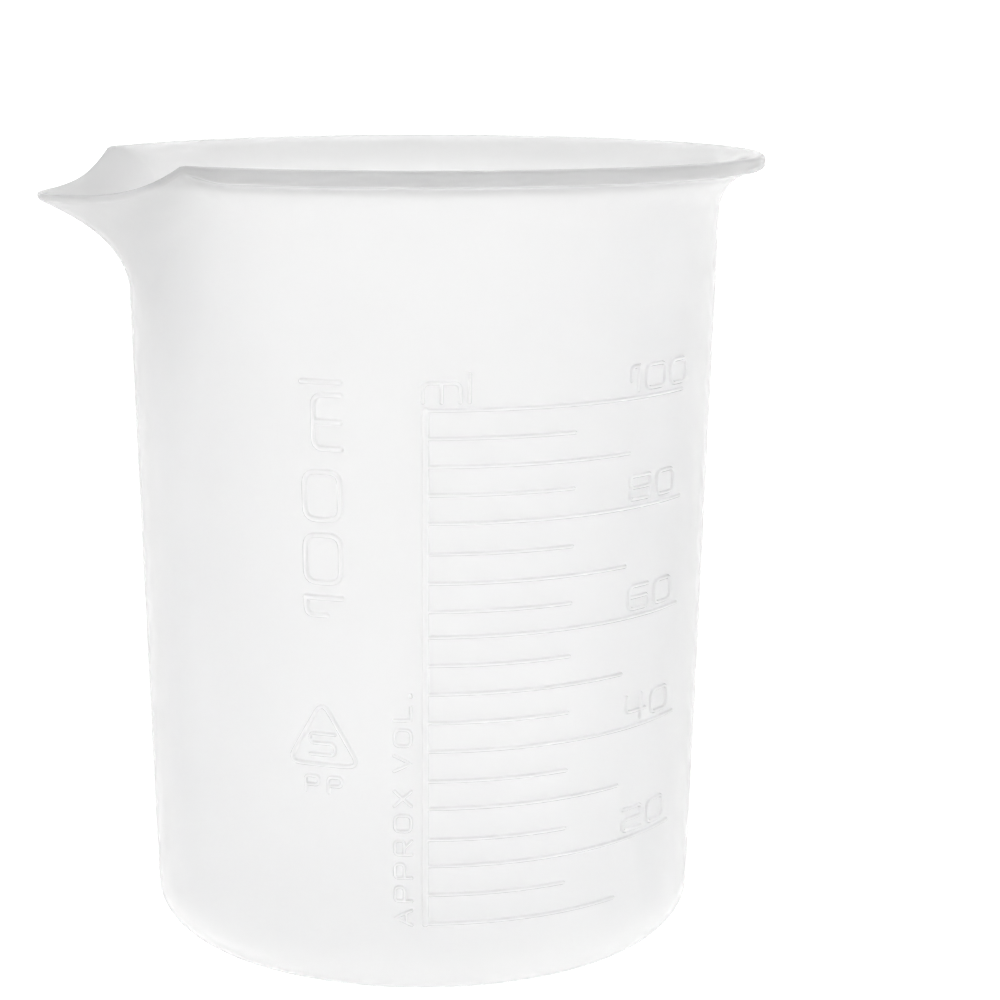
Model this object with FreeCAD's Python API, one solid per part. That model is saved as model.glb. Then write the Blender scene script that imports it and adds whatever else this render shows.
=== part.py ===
import FreeCAD, Part
import math
import os

from FreeCAD import Vector

# A low-form laboratory beaker of translucent polypropylene, nominal capacity 100 ml.
# Millimetres, +Z up. The origin is the centre of the flat underside of the base, on the
# axis of the body. The pouring spout points along -X, and the graduations are on the
# -Y side of the wall, a quarter turn from the spout, towards +X.

os.makedirs("parts", exist_ok=True)

# ---------------------------------------------------------------- driving dimensions
HEIGHT = 73.0  # top of the rim
BASE_T = 1.6  # thickness of the floor
WALL_T = 1.4  # wall, measured level
BASE_R = 25.57  # outer radius that the wall's cone has at z = 0
DRAFT = 0.0294  # outward lean of the wall per millimetre of height (1.7 degrees)
FOOT_R = 3.4  # outer rounding between the underside and the wall
HEEL_R = 2.6  # inner rounding between the floor and the wall

RIM_R = 31.72  # outer radius of the flared rim
LIP_T = 1.39  # height of the rim's outer face
FLARE_H = 5.25  # how far below the rim's top the flare leaves the wall

SPOUT_DIR = -90.0  # degrees from -Y towards +X: the spout points along -X
SPOUT_HALF = 33.3  # half angle of the spout's notch in the rim
SPOUT_BLEND = 41.5  # half angle at which the rim starts to thin towards the spout
SPOUT_DIP = 3.1  # how far the channel's lip lies below the rim's top
SPOUT_DROP = 3.2  # how sharply the rim steps down at the spout's two corners
SPOUT_REACH = 35.83  # radius of the spout's tip
SPOUT_LIP_T = 0.65  # thickness of the pouring edge
SPOUT_TIP_ROUND = 8.0  # degrees over which the spout's tip is rounded in plan
SPOUT_DEPTH = 7.6  # how much lower the channel starts than the flare
SPOUT_SLOPE = 14.0  # degrees above level at which the channel meets its edge

RELIEF = 0.25  # height of the raised lines and letters
LINE_W = 0.42  # width of a graduation line at the wall
LINE_TOP = 0.18  # width of a graduation line at its crest
SPINE_W = 0.70  # width of the upright line that the graduations start from
SPINE_A = -16.45  # its place round the wall
LONG_A, MID_A, SHORT_A = 43.2, 25.0, 12.1  # where the three lengths of line end
LONG_TRIM = {60: 0.5, 80: 1.1, 100: 1.9}  # the upper long lines stop a little earlier
LINE_SHIFT = {75: -0.18, 70: -0.28, 65: -0.26, 35: -0.12, 25: -0.23}  # lines cut a little off their true height
NUM_A = {20: 26.0, 40: 25.9, 60: 25.4, 80: 24.7, 100: 24.0}  # left edges of the numerals
NUM_H = 2.5  # their height
STROKE = 0.44  # stroke width of the numerals
DIGIT_GAP = 0.52  # between two numerals
MARK_A = -36.2  # middle of the resin mark

# ---------------------------------------------------------------- the cone of the wall


def r_out(z):
    return BASE_R + DRAFT * z


def r_in(z):
    return r_out(z) - WALL_T


def at(r, a, z):
    """A point at radius r, angle a in degrees from -Y towards +X, and height z."""
    t = math.radians(a)
    return Vector(r * math.sin(t), -r * math.cos(t), z)


def filled(z):
    """Volume held below the height z, in ml, with the rounded heel taken off."""
    n = 400
    total = 0.0
    step = (z - BASE_T) / n
    for i in range(n):
        zz = BASE_T + (i + 0.5) * step
        r = r_in(zz)
        d = BASE_T + HEEL_R - zz
        if d > 0:
            r -= HEEL_R - math.sqrt(HEEL_R**2 - d * d)
        total += math.pi * r * r * step
    return total / 1000.0


def level(ml):
    """The height at which the beaker holds ml millilitres."""
    lo, hi = BASE_T, HEIGHT
    for _ in range(50):
        mid = (lo + hi) / 2
        if filled(mid) < ml:
            lo = mid
        else:
            hi = mid
    return (lo + hi) / 2


# ---------------------------------------------------------------- the vessel
KAPPA = 0.5523  # handle length of a quarter circle


def bezier(points):
    c = Part.BezierCurve()
    c.setPoles(points)
    return c.toShape()


def line(p, q):
    return Part.LineSegment(p, q).toShape()


def smooth(x):
    x = min(1.0, max(0.0, x))
    return x * x * (3 - 2 * x)


def rim_section(b):
    """The rim's section at b degrees from the spout's middle: r and z of the corners and handles of its inner and outer curve."""
    b = abs(b)
    thin = smooth((SPOUT_BLEND - b) / (SPOUT_BLEND - SPOUT_HALF))
    u = max(0.0, 1 - b / SPOUT_HALF)
    dip = SPOUT_DIP * (1 - (1 - u) ** SPOUT_DROP)
    lip = LIP_T + (SPOUT_LIP_T - LIP_T) * thin
    if b < SPOUT_HALF:
        pull = 1 - SPOUT_REACH * math.cos(math.radians(SPOUT_HALF)) / RIM_R
        soft = math.sqrt(b * b + SPOUT_TIP_ROUND**2) - SPOUT_TIP_ROUND
        soft *= SPOUT_HALF / (math.sqrt(SPOUT_HALF**2 + SPOUT_TIP_ROUND**2) - SPOUT_TIP_ROUND)
        tip = RIM_R / math.cos(math.radians(SPOUT_HALF - soft)) * (1 - pull * smooth(u))
    else:
        tip = RIM_R
    deep = smooth(u)
    za = HEIGHT - FLARE_H - SPOUT_DEPTH * deep
    zb = za - 0.9 * deep
    top = HEIGHT - dip
    slope = math.radians(SPOUT_SLOPE) * deep
    ts = Vector(math.cos(slope), 0, math.sin(slope))
    tw = Vector(DRAFT, 0, 1).normalize()
    p0 = Vector(r_in(za), 0, za)
    p3 = Vector(tip, 0, top)
    q0 = Vector(r_out(zb), 0, zb)
    q3 = Vector(tip, 0, top - lip)
    p1 = p0 + tw * (KAPPA * (p3.z - p0.z))
    p2 = p3 - ts * (KAPPA * (p3.x - p0.x))
    # the underside leans up towards the thin edge, so the lip tapers
    lean = slope + math.radians(24) * thin * (1 - 0.5 * deep)
    tl = Vector(math.cos(lean), 0, math.sin(lean))
    q1 = q0 + tw * (KAPPA * (q3.z - q0.z))
    q2 = q3 - tl * (KAPPA * (q3.x - q0.x))
    return [p0, p1, p2, p3], [q0, q1, q2, q3]


CUT_Z = HEIGHT - FLARE_H - SPOUT_DEPTH - 0.9 - 1.5  # below this the body is plain


def upright(points, a):
    return [at(p.x, a, p.z) for p in points]


def section_wire(b, a):
    """The closed section of the wall and rim above CUT_Z at b degrees from the spout, standing at the angle a."""
    inner, outer = rim_section(b)
    i0 = at(r_in(CUT_Z), a, CUT_Z)
    o0 = at(r_out(CUT_Z), a, CUT_Z)
    pi = upright(inner, a)
    po = upright(outer, a)
    return Part.Wire(
        [
            line(i0, pi[0]),
            bezier(pi),
            line(pi[3], po[3]),
            bezier([po[3], po[2], po[1], po[0]]),
            line(po[0], o0),
            line(o0, i0),
        ]
    )


def loft(b0, b1, n):
    wires = []
    for i in range(n + 1):
        b = b0 + (b1 - b0) * i / n
        wires.append(section_wire(b, SPOUT_DIR + b))
    return Part.makeLoft(wires, True, False)


def lower_body():
    """Base, foot rounding and plain wall up to CUT_Z, as one turned solid."""
    a = math.atan(DRAFT)
    # the roundings touch the level face and the leaning wall
    f = FOOT_R * math.tan((math.pi / 2 - a) / 2)
    foot_flat = Vector(r_out(0) - f, 0, 0)
    foot_wall = Vector(r_out(0) + f * math.sin(a), 0, f * math.cos(a))
    foot_mid = Vector(foot_flat.x, 0, FOOT_R) + Vector(
        math.cos(-(math.pi / 2 + a) / 2) * FOOT_R, 0, math.sin(-(math.pi / 2 + a) / 2) * FOOT_R
    )
    h = HEEL_R * math.tan((math.pi / 2 - a) / 2)
    heel_flat = Vector(r_in(BASE_T) - h, 0, BASE_T)
    heel_wall = Vector(r_in(BASE_T) + h * math.sin(a), 0, BASE_T + h * math.cos(a))
    heel_mid = Vector(heel_flat.x, 0, BASE_T + HEEL_R) + Vector(
        math.cos(-(math.pi / 2 + a) / 2) * HEEL_R, 0, math.sin(-(math.pi / 2 + a) / 2) * HEEL_R
    )
    o_top = Vector(r_out(CUT_Z), 0, CUT_Z)
    i_top = Vector(r_in(CUT_Z), 0, CUT_Z)
    edges = [
        line(Vector(0, 0, 0), foot_flat),
        Part.Arc(foot_flat, foot_mid, foot_wall).toShape(),
        line(foot_wall, o_top),
        line(o_top, i_top),
        line(i_top, heel_wall),
        Part.Arc(heel_wall, heel_mid, heel_flat).toShape(),
        line(heel_flat, Vector(0, 0, BASE_T)),
        line(Vector(0, 0, BASE_T), Vector(0, 0, 0)),
    ]
    face = Part.Face(Part.Wire(edges))
    return face.revolve(Vector(0, 0, 0), Vector(0, 0, 1), 360)


def rim_turn():
    """The plain flared rim, turned round the axis everywhere but at the spout."""
    start = SPOUT_DIR + SPOUT_BLEND
    face = Part.Face(section_wire(SPOUT_BLEND, start))
    return face.revolve(Vector(0, 0, 0), Vector(0, 0, 1), 360 - 2 * SPOUT_BLEND)


def vessel():
    pieces = [
        rim_turn(),
        loft(-SPOUT_BLEND, -SPOUT_HALF, 5),
        loft(-SPOUT_HALF, SPOUT_HALF, 24),
        loft(SPOUT_HALF, SPOUT_BLEND, 5),
    ]
    return lower_body().multiFuse(pieces, 1e-4)


# ---------------------------------------------------------------- raised markings
def ring_bar(z, a0, a1, foot=LINE_W, crest=LINE_TOP):
    """A level ridge of tapering section on the wall, from angle a0 to a1."""
    pts = [
        (r_out(z - foot / 2), z - foot / 2),
        (r_out(z + foot / 2), z + foot / 2),
        (r_out(z + crest / 2) + RELIEF, z + crest / 2),
        (r_out(z - crest / 2) + RELIEF, z - crest / 2),
    ]
    v = [at(r, a0, zz) for r, zz in pts]
    face = Part.Face(Part.makePolygon(v + [v[0]]))
    return face.revolve(Vector(0, 0, 0), Vector(0, 0, 1), a1 - a0)


def skin(z0, z1, a0, a1):
    """The layer just outside the wall that the letters fill."""
    v = [
        at(r_out(z0), a0, z0),
        at(r_out(z1), a0, z1),
        at(r_out(z1) + RELIEF, a0, z1),
        at(r_out(z0) + RELIEF, a0, z0),
    ]
    face = Part.Face(Part.makePolygon(v + [v[0]]))
    return face.revolve(Vector(0, 0, 0), Vector(0, 0, 1), a1 - a0)


def rounded(points, radius, closed=False, steps=3):
    """A polyline with its corners turned into short arcs. A third number at a point is a radius of its own."""
    n = len(points)
    out = []
    for i, p in enumerate(points):
        if not closed and i in (0, n - 1):
            out.append(p)
            continue
        a, c = points[i - 1], points[(i + 1) % n]
        da, dc = math.dist(p[:2], a[:2]), math.dist(p[:2], c[:2])
        # two rounded corners share the side between them, a sharp one leaves it all to its neighbour
        ra = da * (0.62 if len(a) > 2 else 0.42)
        rc = dc * (0.62 if len(c) > 2 else 0.42)
        r = min(p[2] if len(p) > 2 else radius, ra, rc)
        if r == 0:
            out.append(p[:2])
            continue
        s = (p[0] + (a[0] - p[0]) * r / da, p[1] + (a[1] - p[1]) * r / da)
        e = (p[0] + (c[0] - p[0]) * r / dc, p[1] + (c[1] - p[1]) * r / dc)
        for k in range(steps + 1):
            t = k / steps
            out.append(
                (
                    (1 - t) ** 2 * s[0] + 2 * t * (1 - t) * p[0] + t * t * e[0],
                    (1 - t) ** 2 * s[1] + 2 * t * (1 - t) * p[1] + t * t * e[1],
                )
            )
    return out


def offset(points, d, closed):
    """The polyline moved sideways by d, with mitred corners."""
    n = len(points)
    out = []
    for i, p in enumerate(points):
        dirs = []
        if closed or i > 0:
            q = points[i - 1]
            dirs.append((p[0] - q[0], p[1] - q[1]))
        if closed or i < n - 1:
            q = points[(i + 1) % n]
            dirs.append((q[0] - p[0], q[1] - p[1]))
        norms = []
        for x, y in dirs:
            m = math.hypot(x, y)
            norms.append((-y / m, x / m))
        nx = sum(v[0] for v in norms) / len(norms)
        ny = sum(v[1] for v in norms) / len(norms)
        m = nx * nx + ny * ny
        out.append((p[0] + d * nx / m, p[1] + d * ny / m))
    return out


def stroke_prism(points, width, closed, place):
    """A stroke of the given width along points, as a prism through the wall. place turns a letter's point into a point in space at a given depth."""
    left = offset(points, width / 2, closed)
    right = offset(points, -width / 2, closed)

    def prism(poly):
        v = [place(x, y, -2.5) for x, y in poly]
        face = Part.Face(Part.makePolygon(v + [v[0]]))
        return face.extrude(place(0, 0, 2.5) - place(0, 0, -2.5))

    if not closed:
        return prism(left + right[::-1])
    a, b = prism(left), prism(right)
    return a.cut(b) if a.Volume > b.Volume else b.cut(a)


# Letters as strokes in a box 1 high. Each is its width, then its strokes: (closed, corner radius, points).
GLYPHS = {
    "0": (1.3, [(True, 0.34, [(0, 0), (1.3, 0), (1.3, 1), (0, 1)])]),
    "1": (0.48, [(False, 0.3, [(0, 0.42), (0, 1), (0.48, 1)]), (False, 0, [(0.48, 1.12), (0.48, -0.12)])]),
    "2": (1.26, [(False, 0.26, [(-0.1, 1), (1.26, 1), (1.26, 0.5), (0, 0.5), (0, 0), (1.36, 0)])]),
    "4": (1.26, [(False, 0.24, [(0, 1.12), (0, 0.34), (1.36, 0.34)]), (False, 0, [(0.98, 1.12), (0.98, -0.12)])]),
    "5": (1.2, [(False, 0.26, [(1.3, 1), (0, 1), (0, 0.54), (1.2, 0.54), (1.2, 0), (-0.1, 0)])]),
    "6": (1.28, [(False, 0.3, [(1.34, 1), (0, 1), (0, 0), (1.28, 0), (1.28, 0.52), (0.4, 0.52)]), (False, 0, [(0, 0.52), (0.5, 0.52)])]),
    "8": (1.3, [(True, 0.28, [(0, 0), (1.3, 0), (1.3, 0.36, 0), (1.2, 0.51, 0), (1.3, 0.66, 0), (1.3, 1), (0, 1), (0, 0.66, 0), (0.1, 0.51, 0), (0, 0.36, 0)]), (False, 0, [(0.12, 0.51), (1.18, 0.51)])]),
    "m": (2.02, [(False, 0.4, [(0, -0.167), (0, 1), (2.02, 1), (2.02, -0.167)]), (False, 0, [(1.01, 1), (1.01, -0.167)])]),
    "l": (0.0, [(False, 0, [(0, 1.53), (0, -0.167)])]),
    "A": (0.95, [(False, 0, [(0, -0.13), (0.475, 1.0), (0.95, -0.13)]), (False, 0, [(0.2, 0.3), (0.75, 0.3)])]),
    "P": (0.9, [(False, 0.26, [(0, -0.13), (0, 1), (0.9, 1), (0.9, 0.42), (0.3, 0.42)]), (False, 0, [(0, 0.42), (0.4, 0.42)])]),
    "R": (0.9, [(False, 0.26, [(0, -0.13), (0, 1), (0.9, 1), (0.9, 0.42), (0.3, 0.42)]), (False, 0, [(0, 0.42), (0.4, 0.42)]), (False, 0, [(0.42, 0.42), (0.9, -0.13)])]),
    "O": (1.02, [(True, 0.34, [(0, 0), (1.02, 0), (1.02, 1), (0, 1)])]),
    "X": (0.95, [(False, 0, [(0, -0.12), (0.95, 1.12)]), (False, 0, [(0, 1.12), (0.95, -0.12)])]),
    "V": (1.0, [(False, 0, [(0, 1.13), (0.5, 0.05), (1.0, 1.13)])]),
    "L": (0.85, [(False, 0, [(0, 1.13), (0, 0), (0.95, 0)])]),
    ".": (0.15, [(False, 0, [(0, 0), (0.2, 0)])]),
    # the triangle of a plain resin mark
    "^": (1.1, [(True, 0.2, [(0, 0), (1.1, 0), (0.55, 0.95)])]),
}


def letter(char, x, y, height, width, a0, z0, turned):
    """One raised letter, as a solid seated on the wall. x and y are its lower left corner along and across the line of text, which starts at angle a0 and height z0. Turned text reads upwards."""
    w, strokes = GLYPHS[char]
    inset = width / 2
    size = height - width  # strokes run inside the letter's outline
    r0 = r_out(z0)
    if turned:
        ca = a0
        cz = z0 + x + inset + w * size / 2
    else:
        ca = a0 + math.degrees((x + inset + w * size / 2) / r0)
        cz = z0
    t = math.radians(ca)
    side = Vector(math.cos(t), math.sin(t), 0)
    out = Vector(math.sin(t), -math.cos(t), 0)
    r_mid = r_out(cz)

    def place(u, v, depth):
        lx = (u - w / 2) * size
        ly = v * size + inset + y
        if turned:
            return out * (r_mid + depth) + side * (-ly) + Vector(0, 0, cz + lx)
        return out * (r_mid + depth) + side * lx + Vector(0, 0, z0 + ly)

    body = None
    for closed, radius, pts in strokes:
        p = rounded(pts, radius, closed) if radius else pts
        s = stroke_prism(p, width / size, closed, place)
        body = s if body is None else body.fuse(s)
    body = body.removeSplitter()
    box = body.BoundBox
    span = math.degrees((box.DiagonalLength / 2 + 1.0) / r_mid)
    layer = skin(box.ZMin - 0.5, box.ZMax + 0.5, ca - span - 4, ca + span + 4)
    solid = body.common(layer)
    keep = [s for s in solid.Solids if s.Volume > 1e-4 and s.CenterOfMass.dot(out) > 0]
    return keep, (w * size + width)


def text(chars, height, width, gap, a0, z0, turned=False, y=0.0, space=0.9):
    solids = []
    x = 0.0
    for c in chars:
        if c == " ":
            x += space
            continue
        got, adv = letter(c, x, y, height, width, a0, z0, turned)
        solids += got
        x += adv + gap
    return solids, x - gap


def export(name, solids):
    shape = solids[0] if len(solids) == 1 else Part.makeCompound(solids)
    shape.exportStep("parts/%s.step" % name)
    print(
        "%-20s solids %3d  volume %9.3f mm3  valid %s  box %s"
        % (
            name,
            len(shape.Solids),
            shape.Volume,
            shape.isValid(),
            [round(v, 2) for v in (shape.BoundBox.XMin, shape.BoundBox.YMin, shape.BoundBox.ZMin, shape.BoundBox.XMax, shape.BoundBox.YMax, shape.BoundBox.ZMax)],
        )
    )


body = vessel()
export("beaker_body", body.Solids)

levels = {ml: level(ml) for ml in range(10, 101, 5)}
print("levels", {k: round(v, 2) for k, v in levels.items()})
EDGE_A = SPINE_A + math.degrees(SPINE_W / 2 / r_out(30))

long_lines, mid_lines, short_lines = [], [], []
for ml, z in levels.items():
    z += LINE_SHIFT.get(ml, 0)
    if ml % 20 == 0:
        long_lines.append(ring_bar(z, EDGE_A, LONG_A - LONG_TRIM.get(ml, 0)))
    elif ml % 10 == 0:
        mid_lines.append(ring_bar(z, EDGE_A, MID_A))
    else:
        short_lines.append(ring_bar(z, EDGE_A, SHORT_A))
export("scale_lines_20ml", long_lines)
export("scale_lines_10ml", mid_lines)
export("scale_lines_5ml", short_lines)

half = math.degrees(SPINE_W / 2 / r_out(30))
export("scale_spine", [skin(levels[10] - LINE_W / 2, levels[100] + LINE_W / 2, SPINE_A - half, SPINE_A + half)])

for ml in (20, 40, 60, 80, 100):
    solids, _ = text(str(ml), NUM_H, STROKE, DIGIT_GAP, NUM_A[ml], levels[ml] + 0.48)
    export("numeral_%d" % ml, solids)

# unit mark over the spine
solids, _ = text("ml", 2.0, STROKE, 0.34, -17.4, levels[100] + 0.55)
export("unit_mark_ml", solids)

# legend that reads upwards beside the spine
solids, n = text("APPROX VOL.", 1.78, 0.36, 0.5, -18.75, 6.8, turned=True, space=0.95)
print("legend length", n)
export("approx_vol_legend", solids)

# capacity, reading upwards
solids, n = text("100", 3.8, 0.6, 0.75, -31.4, 34.4, turned=True)
more, n = text("ml", 2.9, 0.6, 0.5, -31.4, 34.4 + n + 1.4, turned=True)
print("capacity end", n)
export("capacity_legend", solids + more)

# plain resin mark: a triangle round a 5, over the letters PP
solids, n = text("^", 6.6, 0.5, 0, MARK_A - math.degrees(3.6 / r_out(24)), 21.0)
five, m = text("5", 2.3, 0.4, 0, MARK_A - math.degrees(1.35 / r_out(24)), 21.95)
pp, k = text("PP", 1.75, 0.4, 0.5, MARK_A - math.degrees(1.85 / r_out(24)), 18.6)
print("mark widths", n, m, k)
export("resin_mark", solids + five + pp)
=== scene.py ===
import math

import bpy
import numpy as np
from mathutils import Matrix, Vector, geometry


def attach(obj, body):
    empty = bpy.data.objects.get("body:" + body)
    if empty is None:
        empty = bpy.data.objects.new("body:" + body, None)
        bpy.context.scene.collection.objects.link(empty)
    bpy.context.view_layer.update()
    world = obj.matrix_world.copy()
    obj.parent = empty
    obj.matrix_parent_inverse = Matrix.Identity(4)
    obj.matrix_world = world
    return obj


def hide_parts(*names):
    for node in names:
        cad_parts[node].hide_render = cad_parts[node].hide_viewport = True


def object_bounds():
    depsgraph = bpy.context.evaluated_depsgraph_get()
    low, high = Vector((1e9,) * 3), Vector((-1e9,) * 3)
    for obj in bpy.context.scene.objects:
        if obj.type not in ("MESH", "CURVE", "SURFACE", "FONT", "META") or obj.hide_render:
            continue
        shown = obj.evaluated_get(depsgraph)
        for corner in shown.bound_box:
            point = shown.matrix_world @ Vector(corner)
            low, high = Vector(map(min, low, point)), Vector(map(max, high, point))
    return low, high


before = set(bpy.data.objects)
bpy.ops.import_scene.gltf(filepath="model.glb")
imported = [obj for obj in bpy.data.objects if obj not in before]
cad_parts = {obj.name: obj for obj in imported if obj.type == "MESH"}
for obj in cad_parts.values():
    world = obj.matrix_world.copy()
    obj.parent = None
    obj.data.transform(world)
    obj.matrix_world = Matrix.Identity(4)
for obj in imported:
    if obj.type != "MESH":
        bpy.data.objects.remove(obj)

cad_low, cad_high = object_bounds()

MM = 0.001

# ---------------------------------------------------------------- sizes, in millimetres
HEIGHT = cad_high.z / MM  # top of the rim
RIM_R = cad_high.x / MM  # outer radius of the rim
BASE_T, WALL_T = 1.6, 1.4
BASE_R, DRAFT = 25.57, 0.0294
FOOT_R, HEEL_R = 3.4, 2.6
LIP_T, FLARE_H = 1.39, 5.25
SPOUT_A = -90.0  # the spout's place round the rim, in degrees from -Y towards +X
SPOUT_HALF, SPOUT_BLEND = 33.3, 41.5
SPOUT_DIP, SPOUT_DROP, SPOUT_REACH, SPOUT_LIP_T = 3.1, 3.2, 35.83, 0.65
SPOUT_TIP_ROUND, SPOUT_DEPTH, SPOUT_SLOPE = 8.0, 7.6, 14.0
LIP_ROUND = 0.56  # rounding of the lip's two edges
RELIEF = 0.25
KAPPA = 0.5523

SPINE_A = -16.45
LONG_A, MID_A, SHORT_A = 43.2, 25.0, 12.1
NUM_A = {20: 26.0, 40: 25.9, 60: 25.4, 80: 24.7, 100: 24.0}
LONG_TRIM = {60: 0.5, 80: 1.1, 100: 1.9}
LINE_SHIFT = {75: -0.18, 70: -0.28, 65: -0.26, 35: -0.12, 25: -0.23}
MARK_A = -36.2

# ---------------------------------------------------------------- finish and light
TRANSMIT, ROUGH = 0.8, 0.7
GLOSS, GLOSS_ROUGH = 0.55, 0.08
# the second to fourth values are painted shade and painted light in the base colour: the lip's darker tone, the
# darkening of the upper wall under the spout's root, and how much lighter the wall is painted towards the bottom and
# darker towards the top
WALL_TONE, PAINTED_RIM_SHADE_TONE, PAINTED_SPOUT_SHADE, PAINTED_BOTTOM_LIGHT = 0.983, 0.665, 0.14, 0.010
FLOOR_LIGHT, FLOOR_TONE = 1.05, 0.1
TENT_LOW, TENT_HIGH, TENT_TOP = 1.05, 1.15, 0.5
TENT_SIDE = (0.6, 0.8, 0.0)
EXPOSURE = 0.0


def r_out(z):
    return BASE_R + DRAFT * z


def r_in(z):
    return r_out(z) - WALL_T


def smooth(x):
    x = min(1.0, max(0.0, x))
    return x * x * (3 - 2 * x)


def filled(z):
    n = 400
    total = 0.0
    step = (z - BASE_T) / n
    for i in range(n):
        zz = BASE_T + (i + 0.5) * step
        r = r_in(zz)
        d = BASE_T + HEEL_R - zz
        if d > 0:
            r -= HEEL_R - math.sqrt(HEEL_R**2 - d * d)
        total += math.pi * r * r * step
    return total / 1000.0


def level(ml):
    lo, hi = BASE_T, HEIGHT
    for _ in range(50):
        mid = (lo + hi) / 2
        if filled(mid) < ml:
            lo = mid
        else:
            hi = mid
    return (lo + hi) / 2


# ---------------------------------------------------------------- the vessel's section
def cubic(p, t):
    u = 1 - t
    return (
        u**3 * p[0][0] + 3 * u * u * t * p[1][0] + 3 * u * t * t * p[2][0] + t**3 * p[3][0],
        u**3 * p[0][1] + 3 * u * u * t * p[1][1] + 3 * u * t * t * p[2][1] + t**3 * p[3][1],
    )


def rim_section(b):
    """Inner and outer curve of the rim at b degrees from the spout's middle, as four points (r, z) each."""
    b = abs(b)
    thin = smooth((SPOUT_BLEND - b) / (SPOUT_BLEND - SPOUT_HALF))
    u = max(0.0, 1 - b / SPOUT_HALF)
    dip = SPOUT_DIP * (1 - (1 - u) ** SPOUT_DROP)
    lip = LIP_T + (SPOUT_LIP_T - LIP_T) * thin
    if b < SPOUT_HALF:
        pull = 1 - SPOUT_REACH * math.cos(math.radians(SPOUT_HALF)) / RIM_R
        soft = math.sqrt(b * b + SPOUT_TIP_ROUND**2) - SPOUT_TIP_ROUND
        soft *= SPOUT_HALF / (math.sqrt(SPOUT_HALF**2 + SPOUT_TIP_ROUND**2) - SPOUT_TIP_ROUND)
        tip = RIM_R / math.cos(math.radians(SPOUT_HALF - soft)) * (1 - pull * smooth(u))
    else:
        tip = RIM_R
    deep = smooth(u)
    za = HEIGHT - FLARE_H - SPOUT_DEPTH * deep
    zb = za - 0.9 * deep
    top = HEIGHT - dip
    slope = math.radians(SPOUT_SLOPE) * deep
    lean = slope + math.radians(24) * thin * (1 - 0.5 * deep)
    n = math.hypot(DRAFT, 1)

    def curve(a, d, ang):
        h, w = KAPPA * (d[1] - a[1]), KAPPA * (d[0] - a[0])
        return [
            a,
            (a[0] + DRAFT / n * h, a[1] + h / n),
            (d[0] - math.cos(ang) * w, d[1] - math.sin(ang) * w),
            d,
        ]

    inner = curve((r_in(za), za), (tip, top), slope)
    outer = curve((r_out(zb), zb), (tip, top - lip), lean)
    return inner, outer, lip


def trimmed(p, cut, n):
    """n + 1 points of the curve p from its start to where cut millimetres are left of it."""
    fine = [cubic(p, i / 200) for i in range(201)]
    left = 0.0
    k = 200
    while left < cut and k > 0:
        left += math.dist(fine[k], fine[k - 1])
        k -= 1
    t1 = k / 200
    return [cubic(p, t1 * i / n) for i in range(n + 1)]


def round_corner(a, c, b, n):
    """Points strictly between a and b on the quarter curve that turns round the corner c."""
    p = [
        a,
        (a[0] + (c[0] - a[0]) * KAPPA, a[1] + (c[1] - a[1]) * KAPPA),
        (b[0] + (c[0] - b[0]) * KAPPA, b[1] + (c[1] - b[1]) * KAPPA),
        b,
    ]
    return [cubic(p, i / n) for i in range(1, n)]


LEAN = math.atan(DRAFT)
CUT_Z = HEIGHT - FLARE_H - SPOUT_DEPTH - 0.9 - 1.5
PATCH_Z0, PATCH_Z1, PATCH_N = 5.6, 57.0, 48
PATCH_A0, PATCH_A1, PATCH_STEP = -45.0, 46.5, 1.5


def arc(cx, cz, r, t0, t1, n):
    return [(cx + r * math.cos(t0 + (t1 - t0) * i / n), cz + r * math.sin(t0 + (t1 - t0) * i / n)) for i in range(n + 1)]


def section(b):
    """The whole closed section at b degrees from the spout, from the middle of the underside round to the middle of the floor."""
    pts = []
    # underside: gate dimple in the middle, then a shallow hollow inside the ring that it stands on
    f = FOOT_R * math.tan((math.pi / 2 - LEAN) / 2)
    foot_x = r_out(0) - f
    hollow = lambda r: 0.28 * (1 - smooth((r - 17.0) / 3.2))
    for r, z in ((0.55, 0.16), (0.75, 0.30), (0.85, 0.48), (1.9, 0.5), (2.2, 0.44), (2.45, 0.3), (2.75, 0.28)):
        pts.append((r, z))
    for r in (5.5, 9.0, 13.0, 17.0, 17.8, 18.6, 19.4, 20.2, 21.2):
        pts.append((r, hollow(r)))
    # rounding up to the wall
    pts += arc(foot_x, FOOT_R, FOOT_R, -math.pi / 2, -LEAN, 9)
    base_rows = len(pts)
    # plain wall
    for i in range(PATCH_N + 1):
        z = PATCH_Z0 + (PATCH_Z1 - PATCH_Z0) * i / PATCH_N
        pts.append((r_out(z), z))
    inner, outer, lip = rim_section(b)
    zb = outer[0][1]
    for i in range(6):
        z = CUT_Z + (zb - CUT_Z) * i / 6
        pts.append((r_out(z), z))
    # flare, lip with its rounded edges, and the inner flare
    rho = min(LIP_ROUND, 0.42 * lip)
    low = trimmed(outer, rho, 13)
    pts += low
    corner = outer[3]
    face0 = (corner[0], corner[1] + rho)
    pts += round_corner(low[-1], corner, face0, 6)
    top = inner[3]
    face1 = (top[0], top[1] - rho)
    pts.append(face0)
    pts.append(face1)
    high = trimmed(inner, rho, 13)[::-1]
    pts += round_corner(face1, top, high[0], 6)
    pts += high
    # inner wall, heel and floor
    za = inner[0][1]
    h = HEEL_R * math.tan((math.pi / 2 - LEAN) / 2)
    heel_x = r_in(BASE_T) - h
    heel = arc(heel_x, BASE_T + HEEL_R, HEEL_R, -LEAN, -math.pi / 2, 8)
    n = 22
    for i in range(1, n):
        z = za + (heel[0][1] - za) * i / n
        pts.append((r_in(z), z))
    pts += heel
    for r in (18.5, 15.0, 11.0, 7.0, 3.5, 1.2):
        pts.append((r, BASE_T))
    return pts, base_rows


# ---------------------------------------------------------------- raised lines and letters
R0 = 26.5  # radius at which the wall is unrolled: s = R0 * angle


def unrolled(a, z):
    return (R0 * math.radians(a), z)


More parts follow.
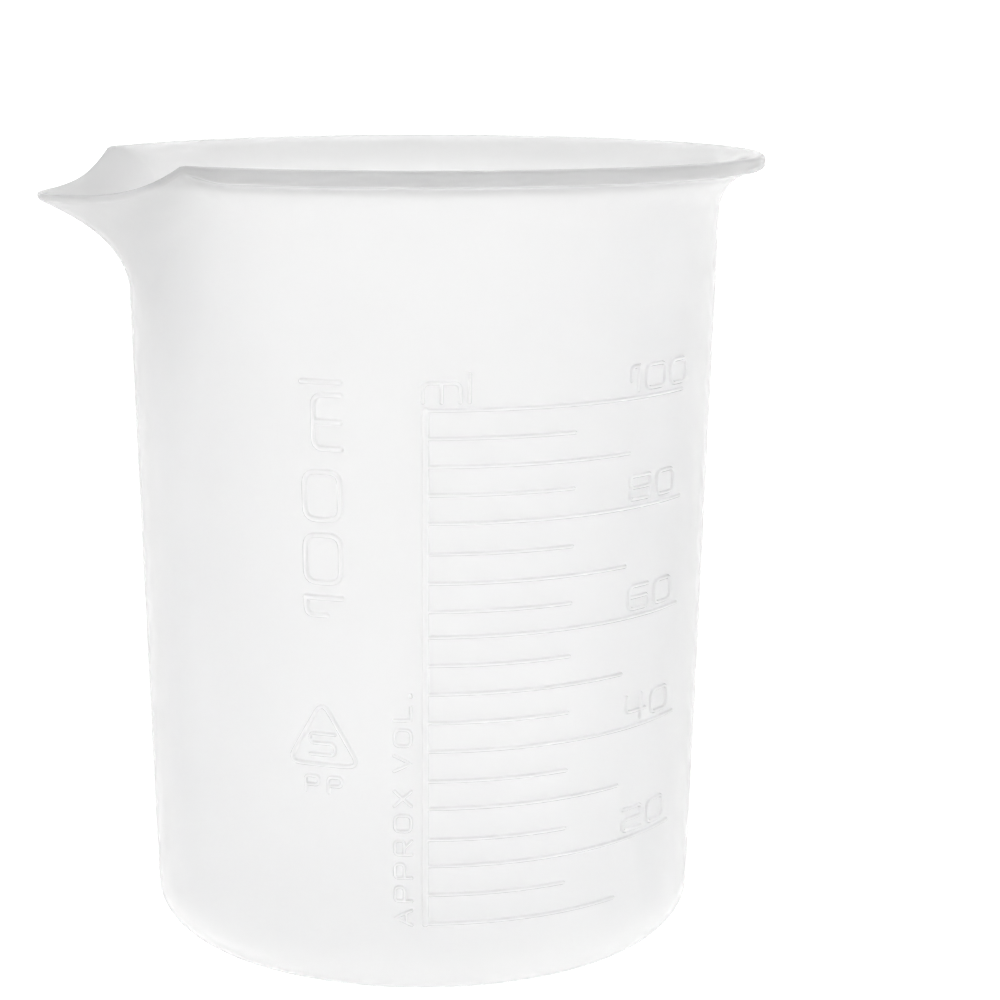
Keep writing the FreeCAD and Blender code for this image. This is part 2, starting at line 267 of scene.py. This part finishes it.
GLYPHS = {
    "0": (1.3, [(True, 0.34, [(0, 0), (1.3, 0), (1.3, 1), (0, 1)])]),
    "1": (0.48, [(False, 0.3, [(0, 0.42), (0, 1), (0.48, 1)]), (False, 0, [(0.48, 1.02), (0.48, -0.02)])]),
    "2": (1.26, [(False, 0.26, [(0, 1), (1.26, 1), (1.26, 0.5), (0, 0.5), (0, 0), (1.26, 0)])]),
    "4": (1.26, [(False, 0.24, [(0, 1.02), (0, 0.34), (1.26, 0.34)]), (False, 0, [(0.98, 1.02), (0.98, -0.02)])]),
    "5": (1.2, [(False, 0.26, [(1.2, 1), (0, 1), (0, 0.54), (1.2, 0.54), (1.2, 0), (0, 0)])]),
    "6": (1.28, [(False, 0.3, [(1.24, 1), (0, 1), (0, 0), (1.28, 0), (1.28, 0.52), (0, 0.52)])]),
    "8": (1.3, [(True, 0.28, [(0, 0), (1.3, 0), (1.3, 0.36), (1.2, 0.51), (1.3, 0.66), (1.3, 1), (0, 1), (0, 0.66), (0.1, 0.51), (0, 0.36)]), (False, 0, [(0.12, 0.51), (1.18, 0.51)])]),
    "m": (2.02, [(False, 0.4, [(0, -0.05), (0, 1), (2.02, 1), (2.02, -0.05)]), (False, 0, [(1.01, 1), (1.01, -0.05)])]),
    "l": (0.0, [(False, 0, [(0, 1.45), (0, -0.05)])]),
    "A": (0.95, [(False, 0, [(0, -0.03), (0.475, 1.0), (0.95, -0.03)]), (False, 0, [(0.2, 0.3), (0.75, 0.3)])]),
    "P": (0.9, [(False, 0.26, [(0, -0.03), (0, 1), (0.9, 1), (0.9, 0.42), (0, 0.42)])]),
    "R": (0.9, [(False, 0.26, [(0, -0.03), (0, 1), (0.9, 1), (0.9, 0.42), (0, 0.42)]), (False, 0, [(0.42, 0.42), (0.9, -0.03)])]),
    "O": (1.02, [(True, 0.34, [(0, 0), (1.02, 0), (1.02, 1), (0, 1)])]),
    "X": (0.95, [(False, 0, [(0, -0.02), (0.95, 1.02)]), (False, 0, [(0, 1.02), (0.95, -0.02)])]),
    "V": (1.0, [(False, 0, [(0, 1.03), (0.5, 0.0), (1.0, 1.03)])]),
    "L": (0.85, [(False, 0, [(0, 1.03), (0, 0), (0.85, 0)])]),
    ".": (0.15, [(False, 0, [(0.03, 0), (0.15, 0)])]),
    "^": (1.1, [(True, 0.2, [(0, 0), (1.1, 0), (0.55, 0.95)])]),
}


def rounded(points, radius, closed, steps=5):
    n = len(points)
    out = []
    for i, p in enumerate(points):
        if not closed and i in (0, n - 1):
            out.append(p)
            continue
        a, c = points[i - 1], points[(i + 1) % n]
        da, dc = math.dist(p, a), math.dist(p, c)
        r = min(radius, da * 0.46, dc * 0.46)
        if r < 1e-6:
            out.append(p)
            continue
        s = (p[0] + (a[0] - p[0]) * r / da, p[1] + (a[1] - p[1]) * r / da)
        e = (p[0] + (c[0] - p[0]) * r / dc, p[1] + (c[1] - p[1]) * r / dc)
        for k in range(steps + 1):
            t = k / steps
            out.append(((1 - t) ** 2 * s[0] + 2 * t * (1 - t) * p[0] + t * t * e[0], (1 - t) ** 2 * s[1] + 2 * t * (1 - t) * p[1] + t * t * e[1]))
    return out


def spaced(points, closed, most):
    """The polyline with points added so that none are further apart than most."""
    pts = points + [points[0]] if closed else points
    out = [pts[0]]
    for p, q in zip(pts, pts[1:]):
        n = max(1, math.ceil(math.dist(p, q) / most - 1e-6))
        for k in range(1, n + 1):
            out.append((p[0] + (q[0] - p[0]) * k / n, p[1] + (q[1] - p[1]) * k / n))
    return out[:-1] if closed else out


STROKES = []  # (points, closed, width at the wall, width at the crest)


def add_stroke(points, closed, foot, crest, most=0.69):
    STROKES.append((spaced(points, closed, most), closed, foot, crest))


def letter(char, x, y, height, width, a0, z0, turned):
    w, strokes = GLYPHS[char]
    inset = width / 2
    size = height - width
    r0 = r_out(z0)
    if turned:
        ca, cz = a0, z0 + x + inset + w * size / 2
    else:
        ca, cz = a0 + math.degrees((x + inset + w * size / 2) / r0), z0
    r_mid = r_out(cz)
    for closed, radius, pts in strokes:
        p = rounded(pts, radius, closed) if radius else pts
        placed = []
        for u, v in p:
            lx = (u - w / 2) * size
            ly = v * size + inset + y
            if turned:
                placed.append(unrolled(ca - math.degrees(ly / r_mid), cz + lx))
            else:
                placed.append(unrolled(ca + math.degrees(lx / r_mid), z0 + ly))
        add_stroke(placed, closed, width + 0.02, width * 0.28)
    return w * size + width


def text(chars, height, width, gap, a0, z0, turned=False, y=0.0, space=0.9):
    x = 0.0
    for c in chars:
        if c == " ":
            x += space
            continue
        x += letter(c, x, y, height, width, a0, z0, turned) + gap
    return x - gap


levels = {ml: level(ml) for ml in range(10, 101, 5)}
add_stroke([unrolled(SPINE_A, levels[10]), unrolled(SPINE_A, levels[100])], False, 0.74, 0.34)
for ml, z in levels.items():
    end = LONG_A if ml % 20 == 0 else MID_A if ml % 10 == 0 else SHORT_A
    end -= LONG_TRIM.get(ml, 0)
    z += LINE_SHIFT.get(ml, 0)
    add_stroke([unrolled(SPINE_A, z), unrolled(end - 0.4, z)], False, 0.44, 0.08)
for ml in (20, 40, 60, 80, 100):
    text(str(ml), 2.5, 0.44, 0.52, NUM_A[ml], levels[ml] + 0.48)
text("ml", 2.0, 0.44, 0.34, -17.4, levels[100] + 0.55)
text("APPROX VOL.", 1.78, 0.36, 0.5, -18.75, 6.8, turned=True, space=0.95)
n = text("100", 3.8, 0.6, 0.75, -31.4, 34.4, turned=True)
text("ml", 2.9, 0.6, 0.5, -31.4, 34.4 + n + 1.4, turned=True)
text("^", 6.6, 0.5, 0, MARK_A - math.degrees(3.6 / r_out(24)), 21.0)
text("5", 2.3, 0.4, 0, MARK_A - math.degrees(1.35 / r_out(24)), 21.95)
text("PP", 1.75, 0.4, 0.5, MARK_A - math.degrees(1.85 / r_out(24)), 18.6)

RISE = (0.0, 0.18, 0.36, 0.54, 0.74, 1.0)  # where the flanks get a row of points


def outlines(points, closed, foot, crest):
    """Loops round a stroke at each of the flank's rows."""
    n = len(points)
    loops = []
    for t in RISE:
        d = foot / 2 + (crest / 2 - foot / 2) * t
        sides = []
        for sign in (1, -1):
            side = []
            for i, p in enumerate(points):
                dirs = []
                if closed or i > 0:
                    q = points[i - 1]
                    dirs.append((p[0] - q[0], p[1] - q[1]))
                if closed or i < n - 1:
                    q = points[(i + 1) % n]
                    dirs.append((q[0] - p[0], q[1] - p[1]))
                nx = ny = 0.0
                for x, y in dirs:
                    m = math.hypot(x, y)
                    nx -= y / m / len(dirs)
                    ny += x / m / len(dirs)
                m = max(nx * nx + ny * ny, 0.35)
                side.append((p[0] + sign * d * nx / m, p[1] + sign * d * ny / m))
            sides.append(side)
        if closed:
            loops += [(sides[0], True), (sides[1], True)]
            continue

        def cap(end, before):
            a = math.atan2(end[1] - before[1], end[0] - before[0])
            return [(end[0] + d * math.cos(a + w), end[1] + d * math.sin(a + w)) for w in (math.pi / 3, math.pi / 6, 0, -math.pi / 6, -math.pi / 3)]

        loops.append((sides[0] + cap(points[-1], points[-2]) + sides[1][::-1] + cap(points[0], points[1]), True))
    return loops


def heights(xy):
    """Height of the relief at each point, and how steeply it rises in s and z."""
    best = np.full(len(xy), -1e9)
    gx = np.zeros(len(xy))
    gz = np.zeros(len(xy))
    for points, closed, foot, crest in STROKES:
        pts = np.array(points + ([points[0]] if closed else []), float)
        near = np.where(
            (xy[:, 0] > pts[:, 0].min() - 0.6) & (xy[:, 0] < pts[:, 0].max() + 0.6) & (xy[:, 1] > pts[:, 1].min() - 0.6) & (xy[:, 1] < pts[:, 1].max() + 0.6)
        )[0]
        if not len(near):
            continue
        q = xy[near]
        a, b = pts[:-1], pts[1:]
        ab = b - a
        t = ((q[:, None] - a[None]) * ab[None]).sum(2) / (ab * ab).sum(1)[None]
        t = np.clip(t, 0, 1)
        c = a[None] + ab[None] * t[:, :, None]
        off = q[:, None] - c
        dist = np.sqrt((off**2).sum(2))
        k = dist.argmin(1)
        r = np.arange(len(q))
        dmin, o = dist[r, k], off[r, k]
        u = (foot / 2 - dmin) / (foot / 2 - crest / 2)
        better = u > best[near]
        sel = near[better]
        best[sel] = u[better]
        s = np.clip(u[better], 0, 1)
        slope = -6 * s * (1 - s) * RELIEF / (foot / 2 - crest / 2)
        unit = o[better] / np.maximum(dmin[better], 1e-9)[:, None]
        gx[sel] = slope * unit[:, 0]
        gz[sel] = slope * unit[:, 1]
    s = np.clip(best, 0, 1)
    return RELIEF * s * s * (3 - 2 * s), gx, gz, best


# ---------------------------------------------------------------- the mesh
angles = [-45.0 + 1.5 * i for i in range(180)]  # from -45 to 223.5, which is the spout's edge
angles += [225.0 + i for i in range(90)]  # finer across the spout
n_col = len(angles)
rows = []
for a in angles:
    pts, base_rows = section((a + 90.0 + 180.0) % 360.0 - 180.0)
    rows.append(pts)
n_row = len(rows[0])
rz = np.array(rows, float)  # column, row, (r, z)
rad = np.radians(np.array(angles))
co = np.zeros((n_row, n_col, 3))
co[:, :, 0] = (rz[:, :, 0] * np.sin(rad)[:, None]).T
co[:, :, 1] = (-rz[:, :, 0] * np.cos(rad)[:, None]).T
co[:, :, 2] = rz[:, :, 1].T
co = co.reshape(-1, 3)

first = base_rows  # the row at PATCH_Z0
last = base_rows + PATCH_N
cols = int(round((PATCH_A1 - PATCH_A0) / PATCH_STEP))  # the patch's columns are 0 to cols


def vid(row, col):
    return row * n_col + col % n_col


faces = []
for i in range(n_row - 1):
    for j in range(n_col):
        if first <= i < last and j < cols:
            continue
        faces.append((vid(i, j), vid(i, j + 1), vid(i + 1, j + 1), vid(i + 1, j)))
extra = [(0, 0, 0.12), (0, 0, BASE_T)]
bottom, floor_mid = len(co), len(co) + 1
for j in range(n_col):
    faces.append((bottom, vid(0, j + 1), vid(0, j)))
    faces.append((vid(n_row - 1, j), vid(n_row - 1, j + 1), floor_mid))

# the unrolled patch that carries the relief, as one triangulation that follows every flank
patch_xy, patch_edges, owner = [], [], []


def loop_edges(start, n, closed):
    return [(start + i, start + (i + 1) % n) for i in range(n if closed else n - 1)]


border = [(first, j) for j in range(cols)] + [(i, cols) for i in range(first, last)]
border += [(last, j) for j in range(cols, 0, -1)] + [(i, 0) for i in range(last, first, -1)]
for i, j in border:
    patch_xy.append((R0 * math.radians(angles[j]), rows[j][i][1]))
    owner.append(vid(i, j))
patch_edges += loop_edges(0, len(border), True)
grid = np.array([(R0 * math.radians(angles[j]), rows[j][i][1]) for i in range(first + 1, last) for j in range(1, cols)])
_, _, _, closeness = heights(grid)
for p in grid[closeness < -0.55]:
    patch_xy.append(tuple(p))
for stroke in STROKES:
    for pts, closed in outlines(*stroke):
        start = len(patch_xy)
        patch_xy += pts
        patch_edges += loop_edges(start, len(pts), closed)
out_xy, _, tris, source, _, _ = geometry.delaunay_2d_cdt([Vector(p) for p in patch_xy], patch_edges, [], 0, 1e-5, True)
xy = np.array([(p.x, p.y) for p in out_xy])
h, gx, gz, _ = heights(xy)
ang = xy[:, 0] / R0
rr = BASE_R + DRAFT * xy[:, 1] + h
patch_co = np.stack([rr * np.sin(ang), -rr * np.cos(ang), xy[:, 1]], 1)
# normals of the relief, turned from the unrolled plane on to the cone
es = np.stack([np.cos(ang), np.sin(ang), np.zeros(len(ang))], 1)
er = np.stack([np.sin(ang), -np.cos(ang), np.zeros(len(ang))], 1)
ez = np.array([0.0, 0.0, 1.0])
patch_no = er - (DRAFT + gz)[:, None] * ez - gx[:, None] * es

base_n = len(co) + 2
index = []
new_co, new_no = [], []
for k, src in enumerate(source):
    shared = [owner[s] for s in src if s < len(border)]
    if shared:
        index.append(shared[0])
    else:
        index.append(base_n + len(new_co))
        new_co.append(patch_co[k])
        new_no.append(patch_no[k])
for t in tris:
    a, b, c = t
    area = (xy[b][0] - xy[a][0]) * (xy[c][1] - xy[a][1]) - (xy[c][0] - xy[a][0]) * (xy[b][1] - xy[a][1])
    tri = (index[a], index[b], index[c])
    if len(set(tri)) < 3:
        continue
    faces.append(tri if area > 0 else tri[::-1])

co = np.concatenate([co, np.array(extra, float), np.array(new_co)])
normals = np.zeros_like(co)
for i in range(first, last + 6):
    for j in range(n_col):
        a = rad[j]
        normals[vid(i, j)] = (math.sin(a), -math.cos(a), -DRAFT)
normals[base_n:] = new_no


def moulded(p):
    """The slight unevenness of a thin moulding: the rim a little out of round and not quite level, the wall faintly wavy."""
    a = np.arctan2(p[:, 0], -p[:, 1])
    r = np.hypot(p[:, 0], p[:, 1])
    k = np.clip(p[:, 2] / HEIGHT, 0, 1)
    rim = k**5
    wall = np.clip(r - 18, 0, 4) / 4
    dr = rim * (0.05 * np.cos(2 * a + 0.5) + 0.03 * np.cos(3 * a - 1.1))
    dr += wall * k * (1 - k) * 4 * (0.012 * np.sin(5 * a + p[:, 2] * 0.11) + 0.008 * np.sin(9 * a - p[:, 2] * 0.16 + 1.0))
    dz = rim * (-0.05 + 0.05 * np.sin(2 * a + 2.2))
    q = p.copy()
    f = (r + dr) / np.maximum(r, 1e-9)
    q[:, 0] *= f
    q[:, 1] *= f
    q[:, 2] += dz
    return q


set_normal = (normals**2).sum(1) > 0
# a surface normal moves with the inverse transpose of the unevenness's slope
eps = 1e-3
p = co[set_normal]
jac = np.stack([(moulded(p + eps * d) - moulded(p - eps * d)) / (2 * eps) for d in np.eye(3)], 2)
turned = np.linalg.solve(np.transpose(jac, (0, 2, 1)), normals[set_normal][:, :, None])[:, :, 0]
normals[set_normal] = turned / np.linalg.norm(turned, axis=1)[:, None]
co = moulded(co)

# drop the points inside the patch that no face uses
used = np.zeros(len(co), bool)
for f in faces:
    used[list(f)] = True
renumber = np.cumsum(used) - 1
co, normals = co[used], normals[used]
faces = [tuple(int(renumber[v]) for v in f) for f in faces]

mesh = bpy.data.meshes.new("beaker")
mesh.from_pydata((co * MM).tolist(), [], faces)
mesh.validate()
mesh.polygons.foreach_set("use_smooth", [True] * len(mesh.polygons))
mesh.normals_split_custom_set_from_vertices(normals.tolist())
mesh.update()
beaker = bpy.data.objects.new("beaker", mesh)
bpy.context.scene.collection.objects.link(beaker)


# ---------------------------------------------------------------- material
def material(name):
    m = bpy.data.materials.new(name)
    m.use_nodes = True
    m.node_tree.nodes.clear()
    return m, m.node_tree.nodes, m.node_tree.links


mat, nodes, links = material("milky_polypropylene")
out = nodes.new("ShaderNodeOutputMaterial")
bsdf = nodes.new("ShaderNodeBsdfPrincipled")
links.new(bsdf.outputs["BSDF"], out.inputs["Surface"])
bsdf.inputs["IOR"].default_value = 1.49
bsdf.inputs["Transmission Weight"].default_value = TRANSMIT
bsdf.inputs["Coat Weight"].default_value = GLOSS
bsdf.inputs["Coat Roughness"].default_value = GLOSS_ROUGH


def new(kind, **values):
    node = nodes.new(kind)
    for key, value in values.items():
        if isinstance(value, tuple) and hasattr(node.inputs.get(key, None), "default_value"):
            node.inputs[key].default_value = value
        elif key in node.inputs:
            node.inputs[key].default_value = value
        else:
            setattr(node, key, value)
    return node


def noise(scale, detail, rough, stretch=(1, 1, 1)):
    """Noise over the object's own coordinates; scale is in features per metre."""
    place = new("ShaderNodeMapping", Scale=stretch)
    n = new("ShaderNodeTexNoise", Scale=scale, Detail=detail, Roughness=rough)
    links.new(coords.outputs["Object"], place.inputs["Vector"])
    links.new(place.outputs["Vector"], n.inputs["Vector"])
    return n.outputs[0]


def spread(value, low, high, to_low, to_high, soft=True):
    node = nodes.new("ShaderNodeMapRange")
    node.interpolation_type = "SMOOTHSTEP" if soft else "LINEAR"
    for key, number in (("From Min", low), ("From Max", high), ("To Min", to_low), ("To Max", to_high)):
        node.inputs[key].default_value = number
    links.new(value, node.inputs["Value"])
    return node.outputs["Result"]


def math_node(operation, a, b):
    node = nodes.new("ShaderNodeMath")
    node.operation = operation
    for k, v in enumerate((a, b)):
        if isinstance(v, (int, float)):
            node.inputs[k].default_value = v
        else:
            links.new(v, node.inputs[k])
    return node.outputs["Value"]


coords = nodes.new("ShaderNodeTexCoord")
axes = nodes.new("ShaderNodeSeparateXYZ")
links.new(coords.outputs["Object"], axes.inputs["Vector"])
height = axes.outputs["Z"]

# how far the surface faces outwards from the beaker's axis
axis = new("ShaderNodeVectorMath", operation="MULTIPLY")
axis.inputs[1].default_value = (1, 1, 0)
links.new(coords.outputs["Object"], axis.inputs[0])
unit = new("ShaderNodeVectorMath", operation="NORMALIZE")
links.new(axis.outputs["Vector"], unit.inputs[0])
facing = new("ShaderNodeVectorMath", operation="DOT_PRODUCT")
links.new(unit.outputs["Vector"], facing.inputs[0])
links.new(coords.outputs["Normal"], facing.inputs[1])
outwards = spread(facing.outputs["Value"], 0.1, 0.7, 0.0, 1.0)

# painted shade: the lip's outward face, and more faintly the whole flare, are painted darker in place of the light that
# the thick moulding lets through less; a painted shade also darkens the upper wall at the spout's root
lip = math_node("MULTIPLY", outwards, spread(height, 0.0705, 0.0716, 0.0, 0.95))
painted_rim_shade = math_node("ADD", lip, spread(height, 0.0650, 0.0700, 0.0, 0.05))
# painted shade: the upper wall on the spout's side, under its root, is painted darker
root = math_node("MULTIPLY", spread(axes.outputs["X"], -0.0215, -0.0285, 0.0, 1.0), spread(height, 0.042, 0.070, 0.0, 1.0))
# painted light: the wall's tone is painted a little lighter towards the bottom and darker towards the top
tone = spread(height, 0.0, 0.070, WALL_TONE + PAINTED_BOTTOM_LIGHT, WALL_TONE - PAINTED_BOTTOM_LIGHT, False)
tone = math_node("SUBTRACT", tone, math_node("MULTIPLY", painted_rim_shade, WALL_TONE - PAINTED_RIM_SHADE_TONE))
tone = math_node("SUBTRACT", tone, math_node("MULTIPLY", root, PAINTED_SPOUT_SHADE))
# faint vertical flow marks and cloudiness left by the melt
flow = spread(noise(90, 3, 0.5, (1, 1, 0.12)), 0.3, 0.7, -0.5, 0.5, False)
cloud = spread(noise(35, 2, 0.5), 0.3, 0.7, -0.5, 0.5, False)
tone = math_node("ADD", tone, math_node("ADD", math_node("MULTIPLY", flow, 0.008), math_node("MULTIPLY", cloud, 0.008)))
tone = math_node("MINIMUM", tone, 0.998)
colour = nodes.new("ShaderNodeCombineColor")
for channel in ("Red", "Green", "Blue"):
    links.new(tone, colour.inputs[channel])
links.new(colour.outputs["Color"], bsdf.inputs["Base Color"])

# satin skin, a little uneven, with light handling marks
satin = spread(noise(260, 4, 0.6), 0.3, 0.7, ROUGH - 0.05, ROUGH + 0.05, False)
links.new(satin, bsdf.inputs["Roughness"])

# the mould's fine grain, and its slow orange-peel waviness
grain = noise(5200, 3, 0.6)
peel = noise(420, 2, 0.5, (1, 1, 0.6))
skin = new("ShaderNodeBump", Strength=1.0, Distance=0.000004)
links.new(grain, skin.inputs["Height"])
wave = new("ShaderNodeBump", Strength=1.0, Distance=0.000012)
links.new(peel, wave.inputs["Height"])
links.new(skin.outputs["Normal"], wave.inputs["Normal"])
links.new(wave.outputs["Normal"], bsdf.inputs["Normal"])
mesh.materials.append(mat)

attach(beaker, "root")
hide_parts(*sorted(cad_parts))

# ---------------------------------------------------------------- floor, light, camera
# a lit white table that runs out to the horizon
fmesh = bpy.data.meshes.new("floor")
fmesh.from_pydata([(-40, -40, 0), (40, -40, 0), (40, 40, 0), (-40, 40, 0)], [], [(0, 1, 2, 3)])
ground = bpy.data.objects.new("floor", fmesh)
bpy.context.scene.collection.objects.link(ground)
fmat, fn, fl = material("pale_floor")
fo = fn.new("ShaderNodeOutputMaterial")
fb = fn.new("ShaderNodeBsdfPrincipled")
fl.new(fb.outputs["BSDF"], fo.inputs["Surface"])
fb.inputs["Base Color"].default_value = (FLOOR_TONE, FLOOR_TONE, FLOOR_TONE, 1)
fb.inputs["Roughness"].default_value = 0.8
fb.inputs["Emission Color"].default_value = (1, 1, 1, 1)
fb.inputs["Emission Strength"].default_value = FLOOR_LIGHT
fmesh.materials.append(fmat)
fmat.cycles.emission_sampling = "NONE"  # so large a lamp is found by the scattered light itself, evenly on both of its triangles

# a soft white tent, bright all round and dimmer overhead
world = bpy.data.worlds.new("studio")
bpy.context.scene.world = world
world.use_nodes = True
nodes, links = world.node_tree.nodes, world.node_tree.links
bg = nodes["Background"]
bg.inputs["Color"].default_value = (1, 1, 1, 1)
sky = nodes.new("ShaderNodeTexCoord")
split = nodes.new("ShaderNodeSeparateXYZ")
links.new(sky.outputs["Generated"], split.inputs["Vector"])
ring = spread(split.outputs["Z"], 0.0, 0.9, 1.0, TENT_TOP)
side = nodes.new("ShaderNodeVectorMath")
side.operation = "DOT_PRODUCT"
side.inputs[1].default_value = Vector(TENT_SIDE).normalized()
links.new(sky.outputs["Generated"], side.inputs[0])
turn = spread(side.outputs["Value"], -0.9, 0.9, TENT_LOW, TENT_HIGH)
links.new(math_node("MULTIPLY", ring, turn), bg.inputs["Strength"])

cam = bpy.data.cameras.new("camera")
cam.sensor_width = 36
cam.lens = 2463.6 * 36 / 1000
cam.shift_x, cam.shift_y = 0.0776, -0.036
cam.clip_start, cam.clip_end = 0.01, 100
camera = bpy.data.objects.new("camera", cam)
camera.location = (0.23074 * math.sin(math.radians(-17)), -0.23074 * math.cos(math.radians(-17)), 0.08515)
camera.rotation_euler = (math.radians(90 - 10.28), 0, math.radians(-17))
bpy.context.scene.collection.objects.link(camera)
bpy.context.scene.camera = camera
scene = bpy.context.scene
scene.view_settings.view_transform = "Standard"
scene.view_settings.exposure = EXPOSURE
# light has to pass through several walls of clear plastic
scene.cycles.max_bounces = 24
scene.cycles.diffuse_bounces = 8
scene.cycles.glossy_bounces = 12
scene.cycles.transmission_bounces = 24
